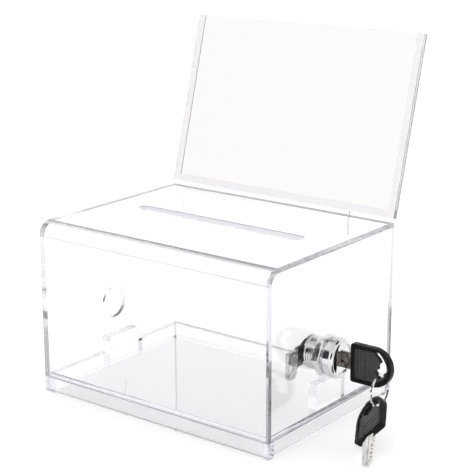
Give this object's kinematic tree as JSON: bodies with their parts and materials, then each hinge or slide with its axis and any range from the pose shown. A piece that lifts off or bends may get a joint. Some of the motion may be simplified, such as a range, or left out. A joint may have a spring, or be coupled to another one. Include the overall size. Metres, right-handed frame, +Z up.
{
  "type": "donation box",
  "caption": "Clear acrylic donation box with a coin slot in the top, a leaning header that holds a card, a lift-off shell on a stepped base and a side cam lock with keys.",
  "frame": {"origin": "centre of the base's underside, where the four rails stand on the table", "axes": "+X along the front towards the lock, +Y towards the back, +Z up"},
  "size_m": [0.2058, 0.1465, 0.2015],
  "materials": {
    "clear_acrylic": "clear, polished",
    "header_acrylic": "clear, polished",
    "chrome_plate": "bright plated",
    "zinc_plate": "plated, satin",
    "brass_wafer": "stamped",
    "key_steel": "nickel plated",
    "ring_steel": "nickel plated",
    "key_plastic": "moulded, satin"
  },
  "bodies": {
    "base": {"floor_panel": "clear_acrylic", "base_front_rail": "clear_acrylic", "base_back_rail": "clear_acrylic", "base_left_rail": "clear_acrylic", "base_right_rail": "clear_acrylic", "left_locating_tab": "clear_acrylic", "right_catch_bracket": "clear_acrylic"},
    "shell": {"front_top_panel": "clear_acrylic", "left_side_panel": "clear_acrylic", "right_side_panel": "clear_acrylic", "back_panel": "clear_acrylic", "header_back_sheet": "header_acrylic", "header_front_sheet": "header_acrylic", "header_left_strip": "header_acrylic", "header_right_strip": "header_acrylic", "header_bottom_strip": "header_acrylic", "lock_housing": "chrome_plate", "lock_nut": "zinc_plate", "lock_star_washer": "zinc_plate"},
    "lock_rotor": {"lock_plug": "chrome_plate", "wafer_tumblers": "brass_wafer", "wafer_springs": "zinc_plate", "cam_stop_washer": "zinc_plate", "lock_cam": "zinc_plate", "cam_spring_washer": "zinc_plate", "cam_screw": "zinc_plate"},
    "key_a": {"key_a_blade": "key_steel", "key_a_head": "key_plastic"},
    "split_ring": {"key_ring": "ring_steel"},
    "key_b": {"key_b_blade": "key_steel", "key_b_head": "key_plastic"}
  },
  "joints": [
    {"name": "shell_lift", "type": "slide", "parent": "base", "child": "shell", "axis": [0, 0, 1], "range_m": [0, 0.12]},
    {"name": "lock_turn", "type": "hinge", "parent": "shell", "child": "lock_rotor", "pos_m": [0.0852, 0, 0.039], "axis": [1, 0, 0], "range_deg": [0, 90]},
    {"name": "key_pull", "type": "slide", "parent": "lock_rotor", "child": "key_a", "axis": [1, 0, 0], "range_m": [0, 0.028]},
    {"name": "ring_swing", "type": "hinge", "parent": "key_a", "child": "split_ring", "pos_m": [0.1082, 0, 0.0353], "axis": [0, 1, 0], "range_deg": [-55, 10]},
    {"name": "key_b_swing", "type": "hinge", "parent": "split_ring", "child": "key_b", "pos_m": [0.1082, -0.00539, 0.01955], "axis": [0, 0.7902, -0.6129], "range_deg": [-20, 30]}
  ]
}
